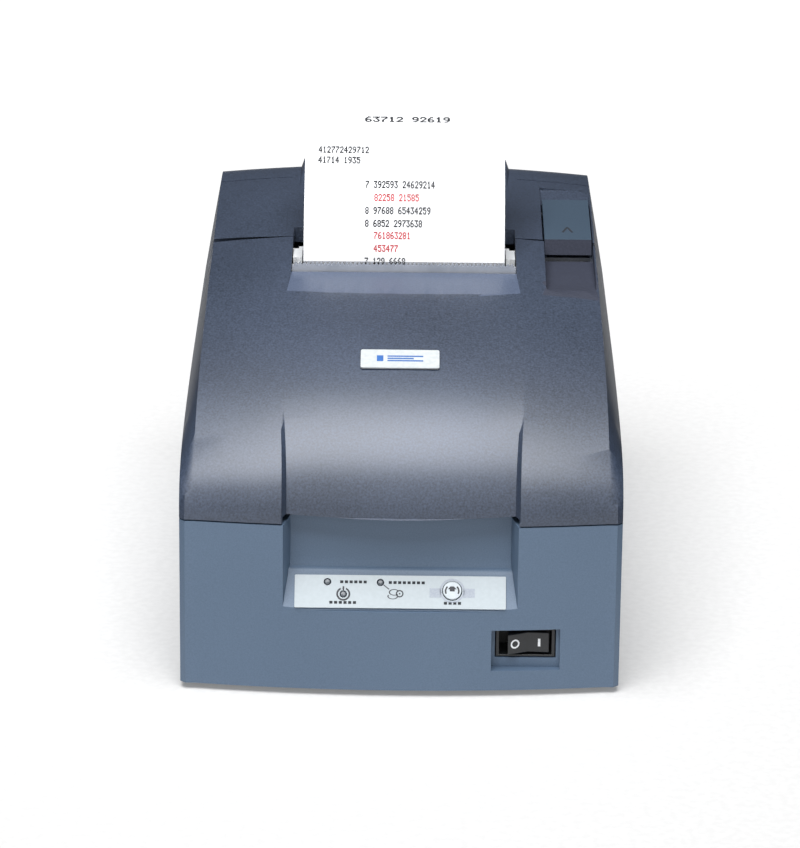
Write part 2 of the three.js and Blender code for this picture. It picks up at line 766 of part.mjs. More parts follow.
function chassis() {
  const outline = [
    [chassisFront, plateTop + gap], [chassisFront, 62], [-78, 84], [-34, 106], [-17, 114], [-16, 119.3],
    [-9, 119.3], [-6, 114], [coverSplit, 112], [coverSplit, plateTop + gap]];
  const sidePlates = mirrored((side) => {
    const [x0, x1] = spanX(side, platePos, platePos + sheet);
    const [b0, b1] = spanX(side, ...bracketX);
    const [r0, r1] = spanX(side, bracketX[0], platePos + 0.2);
    const { y, z } = hoodPivot;
    const hook = prismX(
      [[-12.2, 116.6], [y + 2.6, z - 5], [y + 2.6, z + 1.2], [y + 1.2, z + 2.2], [y - 1.2, z + 2.2],
        [y - 2.6, z + 1.2], [y - 4, 119.3], [-12.2, 119.3]],
      b0, b1,
    );
    return prismX(outline, x0, x1)
      .add(hook.subtract(rodX(1.55, -far, far, y, z, 16)))
      .add(box(r0, r1, -12.2, -10.7, 116.6, 119.3));
  });
  let frame = sidePlates
    .add(box(-platePos - 0.2, platePos + 0.2, chassisFront, coverSplit, 30, 30 + sheet))
    .add(box(-platePos - 0.2, platePos + 0.2, chassisFront, chassisFront + sheet, 30, 60))
    .add(rodY(1.2, chassisFront + 1, -70.5, beltHalf, beltZ, 12))
    .add(box(beltHalf - 4, beltHalf + 4, chassisFront, chassisFront + sheet, 58, 70));
  for (const p of shaftPlaces) frame = frame.subtract(rodX(shaftRadius + gap, -far, far, p.y, p.z, 24));
  return frame;
}

addPart("chassis", chassis(), steel);
for (const { name, y, z } of shaftPlaces) {
  addPart(name, rodX(shaftRadius, -platePos - 2.5, platePos + 2.5, y, z), steel);
}

function tearBar() {
  const half = slotHalf - gap;
  const teeth = Math.floor((2 * (half - 0.6)) / toothPitch);
  const start = -(teeth * toothPitch) / 2;
  const valley = tearEdgeHeight - toothHeight;
  const outside = platePos - gap;
  const inside = outside - 3.2;
  const legFoot = 108;
  const webLow = 116.5;
  const webHigh = 119;
  const points = [[-outside, legFoot], [-inside, legFoot], [-inside, webLow], [inside, webLow],
    [inside, legFoot], [outside, legFoot], [outside, webHigh], [half, webHigh], [half, valley]];
  for (let i = teeth; i > 0; i -= 1) {
    points.push([start + i * toothPitch, valley], [start + (i - 0.5) * toothPitch, tearEdgeHeight]);
  }
  points.push([start, valley], [-half, valley], [-half, webHigh], [-outside, webHigh]);
  return prismY(points, slotFront + 0.9, slotFront + 2.1);
}

addPart("tear_bar", tearBar(), steel);

// ---------------------------------------------------------------- carriage, head, belt
function carriage() {
  let body = box(-carriageHalf, carriageHalf, -66, -26, 76, 92)
    .add(box(-6, 6, -74.7, -65, 71.4, 80));
  for (const p of shaftPlaces) body = body.subtract(rodX(shaftRadius + gap, -far, far, p.y, p.z, 24));
  return body;
}

function printHead() {
  let head = box(-9, 9, -39, -21, 92.3, 111).add(
    prismX([[-22, 104], [-8, 109], [-8, 113], [-22, 112]], -5, 5),
  );
  const spine = box(-7, 7, -far, far, 0, far);
  for (const y of [-36, -32, -28, -24]) {
    head = head.subtract(box(-far, far, y - 0.8, y + 0.8, 96, 108).subtract(spine));
  }
  return head;
}

function motorWithShaft() {
  return rodY(11, -69, -46, -beltHalf, beltZ, 32).add(rodY(1.2, -76, -68, -beltHalf, beltZ, 12));
}

function pulley(x) {
  const g = extruded(gearShape(pulleyRadius, 14, 0.5), beltY[1] - beltY[0]);
  const place = new THREE.Matrix4().makeBasis(xAxis, zAxis, yAxis.clone().negate());
  g.applyMatrix4(place.setPosition(x, beltY[1], beltZ));
  return solid(g).subtract(rodY(1.5, -far, far, x, beltZ, 12));
}

function stadium(radius) {
  const s = new THREE.Shape();
  s.moveTo(-beltHalf, beltZ - radius).lineTo(beltHalf, beltZ - radius);
  s.absarc(beltHalf, beltZ, radius, -Math.PI / 2, Math.PI / 2, false);
  s.lineTo(-beltHalf, beltZ + radius);
  s.absarc(-beltHalf, beltZ, radius, Math.PI / 2, Math.PI * 1.5, false);
  return s.getPoints(12).map((p) => [p.x, p.y]).slice(0, -1);
}

addPart("carriage", carriage(), blackPlastic);
addPart("print_head", printHead(), copper);
addPart("carriage_motor", motorWithShaft(), steel);
addPart("motor_pulley", pulley(-beltHalf), whitePlastic);
addPart("idler_pulley", pulley(beltHalf), whitePlastic);
addPart("timing_belt", prismY(stadium(pulleyRadius + 1.2), ...beltY).subtract(
  prismY(stadium(pulleyRadius + gap), beltY[0] - 1, beltY[1] + 1)), rubber);

// ---------------------------------------------------------------- ribbon
function ribbonCassette() {
  const body = box(-52, 52, -68, -42, 96, 108.5);
  const arms = mirrored((side) => {
    const [x0, x1] = spanX(side, 45, 52);
    return box(x0, x1, -43, -7.3, 103, 114);
  });
  return body.add(arms).subtract(box(-36, 36, -47, -41, 90, 120));
}

addPart("ribbon_cassette", ribbonCassette(), blackPlastic);
addPart("ribbon_band", box(-51, 51, -6.9, -6.5, 105, 113), rubber);
const knobShape = extruded(gearShape(6, 12, 0.7), 2.4).translate(-38, -58, 108.8);
addPart("ribbon_knob", solid(knobShape), whitePlastic);

// ---------------------------------------------------------------- platen and feed train
const platenHalf = paperWidth / 2 + 0.3;
const armX = [platenHalf + 0.5, platenHalf + 1.9];
const gearSpan = [-platenHalf - 3.8, -platenHalf - 2.3];
const feedGearRadius = { platen: 6.4, idler: 9, pinion: 4 };
const idlerZ = platenZ - feedGearRadius.platen - feedGearRadius.idler - gap;
const pinionPlace = { y: platenY + 12.4, z: idlerZ - 5 };

addPart("platen_roller", rodX(platenRadius, -platenHalf, platenHalf, platenY, platenZ, 40)
  .add(rodX(1.9, -platenHalf - 4, platenHalf + 2.6, platenY, platenZ, 20)), rubber);
addPart("platen_gear", gearX(feedGearRadius.platen, 18, 1, ...gearSpan, platenY, platenZ)
  .subtract(rodX(2.2, -far, far, platenY, platenZ, 20)), whitePlastic);
addPart("idler_gear", gearX(feedGearRadius.idler, 26, 1, ...gearSpan, platenY, idlerZ)
  .subtract(rodX(1.7, -far, far, platenY, idlerZ, 16)), whitePlastic);
addPart("feed_pinion", gearX(feedGearRadius.pinion, 11, 0.9, ...gearSpan, pinionPlace.y, pinionPlace.z)
  .subtract(rodX(1.3, -far, far, pinionPlace.y, pinionPlace.z, 12)), steel);

function feedMotor() {
  const { y, z } = pinionPlace;
  return rodX(10, -platePos + 0.4, gearSpan[0] - 2, y, z, 32)
    .add(rodX(1, gearSpan[0] - 3, gearSpan[1] - 0.2, y, z, 12))
    .add(box(-platePos + 0.4, -platePos + 2, platenY - 14, y + 13, z - 13, z + 8))
    .add(rodX(1.4, -platePos + 0.6, gearSpan[1] - 0.2, platenY, idlerZ, 12)
      .subtract(box(gearSpan[0] - 2.2, gearSpan[0] - 0.4, -far, far, 0, far).subtract(
        rodX(1.4, -far, far, platenY, idlerZ, 12))));
}

addPart("feed_motor", feedMotor(), steel);

function platenFrame() {
  const bridgeY = 12.6;
  const outline = [[-2, 107.6], [6, 107.6], [8.4, 118], [bridgeY, 121], [bridgeY, 128], [-1, 128],
    [-3.4, 118]];
  const arms = mirrored((side) => {
    const [x0, x1] = spanX(side, ...armX);
    const [b0, b1] = spanX(side, armX[0], slotHalf - gap);
    return prismX(outline, x0, x1).add(box(b0, b1, -1, 10, 122, 128));
  });
  return arms
    .add(box(-armX[1], armX[1], bridgeY - 1.4, bridgeY, 121.5, 128))
    .add(box(-paperWidth / 2, paperWidth / 2, bridgeY - 0.1, slotRear - 0.4, 121.5, 128))
    .subtract(rodX(2.2, -far, far, platenY, platenZ, 20));
}

addPart("platen_frame", platenFrame(), whitePlastic);

// ---------------------------------------------------------------- paper
const stripCentre = { y: 54, z: 105 };

function stripPath() {
  const points = [];
  const r = platenRadius + 0.4;
  points.push([platenY - r, platenZ - 2], [platenY - r + 0.05, platenZ + 1.5]);
  const steps = 12;
  const first = Math.PI - Math.asin((tearEdgeHeight - 0.2 - stripCentre.z) / stripRadius);
  for (let i = 0; i <= steps; i += 1) {
    const a = first - ((stripAngle * i) / steps) * (Math.PI / 180);
    points.push([stripCentre.y + stripRadius * Math.cos(a), stripCentre.z + stripRadius * Math.sin(a)]);
  }
  return points;
}

// A band of even thickness that follows a path, drawn as an outline.
function band(points, thickness) {
  const list = points.map(([u, v]) => new THREE.Vector2(u, v));
  const offset = (side) => list.map((p, i) => {
    const a = list[Math.max(i - 1, 0)];
    const b = list[Math.min(i + 1, list.length - 1)];
    const along = b.clone().sub(a).normalize();
    return [p.x - along.y * side, p.y + along.x * side];
  });
  return [...offset(thickness / 2), ...offset(-thickness / 2).reverse()];
}

addPart("paper_strip", prismX(band(stripPath(), paperThickness), -paperWidth / 2, paperWidth / 2), paper);
addPart("paper_roll", rodX(rollRadius, -paperWidth / 2, paperWidth / 2, rollY, rollZ, 56)
  .subtract(rodX(rollCoreRadius, -far, far, rollY, rollZ, 28)), paper);
const webPath = [[rollY - 13.4, rollZ + 35.8], [platenY + 4, platenZ - 6.6]];
addPart("paper_web", prismX(band(webPath, paperThickness), -paperWidth / 2, paperWidth / 2), paper);

function rollBin() {
  const half = paperWidth / 2 + 0.9;
  const inner = rollRadius + 1;
  const trough = rodX(inner + 1.5, -half, half, rollY, rollZ, 56)
    .subtract(rodX(inner, -half - 1, half + 1, rollY, rollZ, 56))
    .subtract(box(-far, far, -far, far, rollZ + 4, far));
  const cheeks = mirrored((side) => {
    const [x0, x1] = spanX(side, half, half + 1.2);
    return rodX(inner + 1.5, x0, x1, rollY, rollZ, 56).subtract(box(-far, far, -far, far, rollZ + 12, far));
  });
  const legs = mirrored((side) => {
    const [x0, x1] = spanX(side, half - 6, half + 1.2);
    return box(x0, x1, rollY + 20, rollY + 34, plateTop + gap, rollZ - 20)
      .subtract(rodX(inner + 0.5, -far, far, rollY, rollZ, 56));
  });
  return trough.add(cheeks).add(legs);
}

addPart("roll_bin", rollBin(), blackPlastic);

// ---------------------------------------------------------------- electronics and sockets
function mainBoard() {
  let card = box(-platePos + 4, platePos - 4, front + 44, rollY + 17, 12, 13.6);
  const chips = [[-30, -60, 16, 16, 3], [20, -40, 12, 20, 4], [30, -66, 9, 9, 12], [-20, 0, 10, 14, 3]];
  for (const [x, y, w, d, h] of chips) {
    card = card.add(box(x - w / 2, x + w / 2, y - d / 2, y + d / 2, 13, 13.6 + h));
  }
  return card;
}

addPart("main_board", mainBoard(), board);

const sockets = [
  { name: "data_connector", x: -14, w: 50, h: 13, hole: [42, 8] },
  { name: "power_inlet", x: 23, w: 14, h: 14, hole: [9, 9] },
  { name: "drawer_socket", x: 38.2, w: 13, h: 12, hole: [9.6, 7] },
];
const socketZ = 25;

const cardScrewX = [-bayHalf + 3, bayHalf - 3];
const cardScrewZ = bayHigh - 4;

function socketBlock(s, y0, y1, w, h, more = 0) {
  const halfX = w / 2 + more;
  const halfZ = h / 2 + more;
  return box(s.x - halfX, s.x + halfX, y0, y1, socketZ - halfZ, socketZ + halfZ);
}

function interfaceCard() {
  let card = box(-bayHalf + gap, bayHalf - gap, rear - 4, rear - 2.6, bayLow + gap, bayHigh - gap)
    .add(box(-bayHalf + 3, bayHalf - 3, rear - 38, rear - 3.4, bayLow + 6.6, bayLow + 8.2));
  for (const s of sockets) card = card.subtract(socketBlock(s, rear - 5, far, s.w, s.h, gap));
  for (const x of cardScrewX) card = card.subtract(rodY(1.7, rear - 6, far, x, cardScrewZ, 12));
  return card;
}

addPart("interface_card", interfaceCard(), steel);
for (const s of sockets) {
  const body = socketBlock(s, rear - 16, rear - 0.8, s.w, s.h);
  addPart(s.name, body.subtract(socketBlock(s, rear - 9, far, ...s.hole)), blackPlastic);
}
cardScrewX.forEach((x, i) => {
  const screw = rodY(3, rear - 2.3, rear - 0.4, x, cardScrewZ, 20)
    .add(rodY(1.4, rear - 9, rear - 2, x, cardScrewZ, 12));
  addPart("card_screw_" + (i + 1), screw, steel);
});

export default printer;
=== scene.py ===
# %% [markdown]
# # A desktop receipt printer
# The printer is already built as a fixed frame of solid parts: the case, the two covers, the print
# mechanism and the paper. This lesson gives each part the finish of the real thing, rounds the
# moulded edges, and adds the small pieces that are printed or pressed on to it.
# Everything is in metres. +X is the printer's right seen from the front, +Y its rear, +Z up.

# %% Load the frame
import math
import random

import bmesh
import bpy
from mathutils import Matrix, Vector
from mathutils.bvhtree import BVHTree


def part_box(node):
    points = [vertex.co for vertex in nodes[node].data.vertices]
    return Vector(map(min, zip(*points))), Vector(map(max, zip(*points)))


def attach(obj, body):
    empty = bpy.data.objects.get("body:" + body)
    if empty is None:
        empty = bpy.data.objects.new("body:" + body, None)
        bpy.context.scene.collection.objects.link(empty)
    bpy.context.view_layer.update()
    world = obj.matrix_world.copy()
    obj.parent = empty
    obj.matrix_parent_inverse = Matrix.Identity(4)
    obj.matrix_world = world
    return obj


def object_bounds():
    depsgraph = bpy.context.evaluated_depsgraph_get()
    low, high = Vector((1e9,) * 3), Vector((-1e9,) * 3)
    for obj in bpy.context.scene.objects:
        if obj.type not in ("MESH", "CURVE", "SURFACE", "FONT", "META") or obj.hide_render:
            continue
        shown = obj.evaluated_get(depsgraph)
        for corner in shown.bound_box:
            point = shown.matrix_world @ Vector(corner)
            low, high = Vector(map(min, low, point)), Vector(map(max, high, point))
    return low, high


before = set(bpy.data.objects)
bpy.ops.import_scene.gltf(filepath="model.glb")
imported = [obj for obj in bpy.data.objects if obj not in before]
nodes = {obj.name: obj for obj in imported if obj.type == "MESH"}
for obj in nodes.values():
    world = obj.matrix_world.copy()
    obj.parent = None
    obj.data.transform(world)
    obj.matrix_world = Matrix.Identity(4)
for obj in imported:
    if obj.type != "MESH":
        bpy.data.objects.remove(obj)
cad_low, cad_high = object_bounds()
mm = 0.001

# %% [markdown]
# ## The camera and the light
# The printer is seen from the front and a little above, from far enough away that its sides hardly
# draw together. A long lens does that. The camera comes first, so that every later step can be
# judged in the same view. It is placed by one matrix: move, turn, tilt, then roll.

# %% Camera
camera_place = Vector((1.1, -1610.6, 646.2)) * mm
camera_yaw = math.radians(-0.07)
camera_pitch = math.radians(19.98)
camera_roll = math.radians(0.6)
long_lens = 188.7  # focal length in millimetres, on Blender's 36 mm wide sensor
camera_data = bpy.data.cameras.new("camera")
camera_data.lens = long_lens
camera_data.clip_end = 20
camera = bpy.data.objects.new("camera", camera_data)
bpy.context.scene.collection.objects.link(camera)
bpy.context.scene.camera = camera
camera.matrix_world = (
    Matrix.Translation(camera_place)
    @ Matrix.Rotation(-camera_yaw, 4, "Z")
    @ Matrix.Rotation(math.pi / 2 - camera_pitch, 4, "X")
    @ Matrix.Rotation(camera_roll, 4, "Z")
)
print("camera at", [round(v, 3) for v in camera.location])

# %% [markdown]
# ## The light
# A satin moulding shows its shape by one broad highlight, and a small lamp would make it a hard
# streak. So a softbox over a metre wide hangs overhead and makes the highlight where the front
# cover curves over. A second, much weaker one in front opens up the shadows, and a dim white room
# stands for the light that walls give back. The Standard view keeps colours as they are mixed.

# %% Lamps and room
def lamp(name, place, aim, size, watts):
    """A rectangular softbox at place, turned to face aim. All lengths are in metres."""
    data = bpy.data.lights.new(name, "AREA")
    data.shape = "RECTANGLE"
    data.size, data.size_y = size
    data.energy = watts
    made = bpy.data.objects.new(name, data)
    made.location = place
    made.rotation_mode = "QUATERNION"
    made.rotation_quaternion = (Vector(aim) - Vector(place)).to_track_quat("-Z", "Y")
    bpy.context.scene.collection.objects.link(made)
    return made


lamp("overhead_softbox", (-0.1, -0.55, 1.35), (-0.05, -0.28, 0.05), (1.1, 1.2), 35)
lamp("front_fill", (-0.1, -1.9, 0.75), (0, 0, 0.07), (1.8, 1.0), 7.5)
room_strength = 0.12

room = bpy.data.worlds.new("pale_room")
room.use_nodes = True
room.node_tree.nodes["Background"].inputs["Color"].default_value = (1, 1, 1, 1)
room.node_tree.nodes["Background"].inputs["Strength"].default_value = room_strength
bpy.context.scene.world = room
bpy.context.scene.view_settings.view_transform = "Standard"

# %% [markdown]
# ## Colours and nodes
# Colours are written as the hex values a designer would quote, which are sRGB. The renderer works
# in linear light, so one function turns them. Every finish below is a small tree of nodes, so one
# more function adds a node, sets it up and joins its inputs.

# %% Helpers for materials
def linear(code):
    """A six-figure sRGB hex code as linear red, green and blue, with full alpha."""
    channels = [int(code[i:i + 2], 16) / 255 for i in (0, 2, 4)]
    turned = [c / 12.92 if c <= 0.04045 else ((c + 0.055) / 1.055) ** 2.4 for c in channels]
    return (*turned, 1.0)


def add(material, kind, inputs=None, **settings):
    """Adds a node. An input is given by name or number, as a value or as another node's output."""
    made = material.node_tree.nodes.new(kind)
    for name, value in settings.items():
        setattr(made, name, value)
    for socket, value in (inputs or {}).items():
        if isinstance(value, bpy.types.NodeSocket):
            material.node_tree.links.new(value, made.inputs[socket])
        else:
            made.inputs[socket].default_value = value
    return made


def start(name):
    """An empty material: the tree, its pattern coordinates in metres, and its shader."""
    made = bpy.data.materials.new(name)
    made.use_nodes = True
    made.node_tree.nodes.clear()
    place = add(made, "ShaderNodeTexCoord").outputs["Object"]
    shader = add(made, "ShaderNodeBsdfPrincipled")
    add(made, "ShaderNodeOutputMaterial", {"Surface": shader.outputs["BSDF"]})
    return made, place, shader


def drive(material, output, shader, socket):
    """Joins a finished pattern to one input of the shader."""
    material.node_tree.links.new(output, shader.inputs[socket])


def blend_ramp(material, factor, low, high, low_at=0.35, high_at=0.65):
    """A colour that runs between two hex values as the factor goes from low_at to high_at."""
    ramp = add(material, "ShaderNodeValToRGB", {"Fac": factor})
    ends = ramp.color_ramp.elements
    ends[0].position, ends[0].color = low_at, linear(low)
    ends[1].position, ends[1].color = high_at, linear(high)
    return ramp.outputs["Color"]


def per_metre(size_mm):
    """The texture scale that repeats about once in so many millimetres."""
    return 1000 / size_mm


print("mid grey in linear light:", round(linear("808080")[0], 3))

# %% [markdown]
# ## Moulded ABS
# The case and covers are injection-moulded ABS. The steel mould is spark eroded, so the plastic has
# a fine grain that spreads the light into a wide satin highlight. The covers are moulded in a
# pigment with a metallic fleck: under a lamp it reads as fine salt and pepper. The real fleck is
# under 0.2 mm and would vanish, so it is drawn at 0.75 mm. The pattern comes from noise, because
# neither the grain nor the fleck repeats, and a slow drift over 60 mm keeps a big face from looking
# like one flat tone.

# %% Plastics
drift_mm = 60


def moulded(name, dark, light, grain_mm, rough, fleck=0.15, metal=0.0, relief=0.04, ior=1.58):
    """Grained plastic. fleck is how far the grain's two colours mix: the smaller, the sharper."""
    made, place, shader = start(name)
    grain = add(made, "ShaderNodeTexNoise", {
        "Vector": place, "Scale": per_metre(grain_mm), "Detail": 2.0, "Roughness": 0.6})
    cloud = add(made, "ShaderNodeTexNoise", {
        "Vector": place, "Scale": per_metre(drift_mm), "Detail": 1.0})
    fleck_colour = blend_ramp(made, grain.outputs["Fac"], dark, light, 0.5 - fleck, 0.5 + fleck)
    drift_colour = blend_ramp(made, cloud.outputs["Fac"], dark, light, 0.2, 0.8)
    mixed = add(made, "ShaderNodeMix", {0: 0.35, 6: fleck_colour, 7: drift_colour}, data_type="RGBA")
    drive(made, mixed.outputs[2], shader, "Base Color")
    spread = add(made, "ShaderNodeMapRange", {
        "Value": grain.outputs["Fac"], "To Min": rough - 0.05, "To Max": rough + 0.07})
    drive(made, spread.outputs["Result"], shader, "Roughness")
    bump = add(made, "ShaderNodeBump", {
        "Height": grain.outputs["Fac"], "Strength": 0.3, "Distance": relief * mm})
    drive(made, bump.outputs["Normal"], shader, "Normal")
    shader.inputs["IOR"].default_value = ior
    shader.inputs["Metallic"].default_value = metal
    return made


# Satin blue-grey with a fine even grain: soft, wide highlights.
case_abs = moulded("moulded_abs_case", "4d6178", "586c83", 0.5, 0.5)
# The same resin with the fleck. Its colour is darker than the case's as painted shade for the
# covers' dim tops; it sparkles a little, and goes light under the lamp.
cover_abs = moulded("flecked_abs_covers_painted_shade", "16202e", "465268", 0.75, 0.43, 0.22, metal=0.12, ior=1.74)
# The flat in front of the slot is paler and a little shinier than the covers.
scoop_abs = moulded("polished_abs_scoop", "475267", "556076", 0.75, 0.36)
# The dip for a fingertip: a darker colour as painted shade for the recess, and rougher, with
# hardly any highlight.
painted_shade_scoop_abs = moulded("painted_shade_abs_lever_scoop", "2b2f3e", "343949", 0.75, 0.6)
# The lever's front edge: a darker copy of the lever's colour as painted shade, and the roughest,
# so it stays dark although it tilts toward the lamp.
painted_shade_lip_abs = moulded("painted_shade_abs_lever_lip", "2a2d38", "343744", 0.75, 0.85, ior=1.3)
# The lever is a plain blue-grey without the fleck, a shade greener than the covers.
lever_abs = moulded("moulded_abs_lever", "344454", "3e4f60", 0.5, 0.45)
# Black for switches, sockets and the inside, a little glossier.
black_abs = moulded("moulded_abs_black", "15171a", "1f2124", 0.5, 0.42)
# Acetal is slippery and waxy, so the gears and the platen frame have a soft white sheen.
white_acetal = moulded("moulded_acetal_white", "dde1e5", "eceef0", 0.8, 0.35)
print("plastics made; materials in the file:", len(bpy.data.materials))

# %% [markdown]
# ## Metals
# The frame of the mechanism is zinc-plated sheet steel, whose rolling leaves fine straight lines.
# The guide shafts are ground bright. The print head is a die casting, duller and coarser. A metal's
# colour is in its reflections, so these are told apart by roughness and by the grain's direction.
# Noise stretched along one axis makes the lines. Zinc also sets in patches, which drift over 9 mm.

# %% Steel and casting
patch_mm = 9


def rolled(name, dark, light, rough, stretch, line_mm=0.35, metal=1.0):
    """Metal with fine lines along one axis: stretch is (x, y, z), small along the lines."""
    made, place, shader = start(name)
    drawn = add(made, "ShaderNodeMapping", {"Vector": place, "Scale": stretch})
    lines = add(made, "ShaderNodeTexNoise", {
        "Vector": drawn.outputs["Vector"], "Scale": per_metre(line_mm), "Detail": 2.0})
    spangle = add(made, "ShaderNodeTexNoise", {
        "Vector": place, "Scale": per_metre(patch_mm), "Detail": 2.0})
    colour = blend_ramp(made, spangle.outputs["Fac"], dark, light)
    drive(made, colour, shader, "Base Color")
    spread = add(made, "ShaderNodeMapRange", {
        "Value": lines.outputs["Fac"], "To Min": rough - 0.08, "To Max": rough + 0.12})
    drive(made, spread.outputs["Result"], shader, "Roughness")
    bump = add(made, "ShaderNodeBump", {
        "Height": lines.outputs["Fac"], "Strength": 0.2, "Distance": 0.02 * mm})
    drive(made, bump.outputs["Normal"], shader, "Normal")
    shader.inputs["Metallic"].default_value = metal
    return made


# Bright but blurred, with lines along its length.
plated_steel = rolled("zinc_plated_sheet_steel", "a4a9ae", "c0c4c8", 0.38, (1, 0.04, 1))
# Satin and pale. Set to half metal, which keeps it pale where it faces the dim room.
bar_steel = rolled("satin_stainless_tear_bar", "a9afba", "babfc9", 0.5, (0.04, 1, 1), metal=0.5)
# A dark oxide skin: black, with a faint sheen.
black_steel = rolled("black_oxide_steel_pin", "1d1e21", "27292c", 0.45, (0.1, 1, 1))
# Ground along its length: nearly a mirror.
ground_steel = rolled("ground_steel_rod", "b8bcc0", "cfd2d5", 0.22, (1, 0.1, 0.1))
# Cast, so without any direction: grey and matt.
cast_alloy = rolled("die_cast_alloy", "85888d", "9c9fa3", 0.5, (1, 1, 1), 1.2)
print("metals made; materials in the file:", len(bpy.data.materials))

# %% [markdown]
# ## Rubber and ribbon
# The feet, the platen roller and the belt are moulded rubber, near black and very rough. The ribbon
# is nylon cloth soaked in ink, which looks much the same but a little smoother. One function makes
# both, with a grain of 0.8 mm, coarser than the real surface so that it shows.

# %% Rubber and ribbon
def rubber_of(name, dark, light, rough):
    made, place, shader = start(name)
    grain = add(made, "ShaderNodeTexNoise", {"Vector": place, "Scale": per_metre(0.8), "Detail": 3.0})
    drive(made, blend_ramp(made, grain.outputs["Fac"], dark, light), shader, "Base Color")
    bump = add(made, "ShaderNodeBump", {
        "Height": grain.outputs["Fac"], "Strength": 0.4, "Distance": 0.06 * mm})
    drive(made, bump.outputs["Normal"], shader, "Normal")
    shader.inputs["Roughness"].default_value = rough
    return made


black_rubber = rubber_of("moulded_black_rubber", "17181a", "26272a", 0.85)
inked_nylon = rubber_of("inked_nylon_ribbon", "101016", "1e1e28", 0.7)
print("rubber and ribbon made")

# %% [markdown]
# ## Paper
# Bond paper is a mat of fibres: bright, quite matt, with the faintest mottle. The end of a roll
# shows its turns as rings. Paper is under 0.1 mm thick, so the real rings are too fine to show, and
# they are drawn 1.2 mm apart. The rings come from the distance to the roll's axis, run through a
# sine.

# %% Paper
def bond_paper(name, rings_mm=0.0):
    """Bond paper. With rings_mm it is the end of a wound roll, with its turns showing as rings."""
    made, place, shader = start(name)
    fibre = add(made, "ShaderNodeTexNoise", {"Vector": place, "Scale": per_metre(0.7), "Detail": 4.0})
    colour = blend_ramp(made, fibre.outputs["Fac"], "dadbde", "e2e3e5", 0.3, 0.7)
    if rings_mm:
        middle = (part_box("paper_roll")[0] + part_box("paper_roll")[1]) / 2
        centred = add(made, "ShaderNodeVectorMath", {0: place, 1: middle}, operation="SUBTRACT")
        flat = add(made, "ShaderNodeVectorMath",
                   {0: centred.outputs["Vector"], 1: (0, 1, 1)}, operation="MULTIPLY")
        reach = add(made, "ShaderNodeVectorMath", {0: flat.outputs["Vector"]}, operation="LENGTH")
        wave = add(made, "ShaderNodeMath",
                   {0: reach.outputs["Value"], 1: 2 * math.pi * per_metre(rings_mm)},
                   operation="MULTIPLY")
        ring = add(made, "ShaderNodeMath", {0: wave.outputs["Value"]}, operation="SINE")
        share = add(made, "ShaderNodeMapRange", {"Value": ring.outputs["Value"], "From Min": -1.0})
        turns = blend_ramp(made, share.outputs["Result"], "d3d2cd", "f1f0ec", 0.0, 1.0)
        ends = add(made, "ShaderNodeMix", {0: 0.5, 6: turns, 7: colour}, data_type="RGBA")
        colour = ends.outputs[2]
    drive(made, colour, shader, "Base Color")
    bump = add(made, "ShaderNodeBump", {
        "Height": fibre.outputs["Fac"], "Strength": 0.15, "Distance": 0.03 * mm})
    drive(made, bump.outputs["Normal"], shader, "Normal")
    shader.inputs["Roughness"].default_value = 0.75
    return made


sheet_paper = bond_paper("bond_paper_sheet")
roll_paper = bond_paper("bond_paper_roll", rings_mm=1.2)
print("paper made")

# %% [markdown]
# ## Printed film, inks and lamp lenses
# The control label, the button's face and the badge are printed film, smoother than the case, so
# they catch the light more evenly. Screen-printing ink is a thin, nearly flat layer. The ink from
# the ribbon is the mattest, because it soaks into the paper. The lamps are off, so their lenses
# are smoky grey plastic. All are the same recipe: an even colour with a very slight mottle.

# %% Printed film, inks and lenses
def film(name, dark, light, rough, mottle_mm=1.5):
    """A thin printed or moulded layer: even colour, slight mottle in colour and in shine."""
    made, place, shader = start(name)
    mottle = add(made, "ShaderNodeTexNoise", {"Vector": place, "Scale": per_metre(mottle_mm)})
    drive(made, blend_ramp(made, mottle.outputs["Fac"], dark, light), shader, "Base Color")
    spread = add(made, "ShaderNodeMapRange", {
        "Value": mottle.outputs["Fac"], "To Min": rough - 0.04, "To Max": rough + 0.05})
    drive(made, spread.outputs["Result"], shader, "Roughness")
    return made


# Films: pale, cool and satin.
label_film = film("printed_polycarbonate_film", "a0aab0", "a4aeb4", 0.4)
button_film = film("printed_button_film", "b2bbc1", "bac3c9", 0.4)
badge_enamel = film("printed_badge_film", "b9bfc1", "c2c7c9", 0.4)
# Inks: flat colour with next to no shine.
black_ink = film("black_printing_ink", "22242a", "33353c", 0.6, 0.6)
grey_ink = film("grey_printing_ink", "929aa6", "9ba3ae", 0.5, 0.6)
red_ink = film("red_printing_ink", "b52a30", "c9454a", 0.6, 0.6)
blue_ink = film("blue_printing_ink", "2b5fa4", "3468ad", 0.5, 0.6)
white_ink = film("white_printing_ink", "e2e6ea", "eef0f2", 0.5, 0.6)
# Ribbon ink soaks in: darkest and mattest, a little uneven from dot to dot.
soft_black_ink = film("dot_matrix_ribbon_ink", "14161a", "2c2f35", 0.8, 0.35)
# A lamp that is off: grey, and the glossiest of these.
smoked_lens = film("smoked_lamp_lens", "4c5259", "5a6067", 0.25)
print("films, inks and lens made")

# %% [markdown]
# ## Circuit board
# A circuit board is glass cloth in resin under a green lacquer. Its weave shows as a fine check and
# its copper tracks as a pattern of lines, both under the same lacquer. A checker and a brick
# pattern mixed half and half give that without drawing any track.

# %% Circuit board
weave_mm = 1.2
track_mm = 9


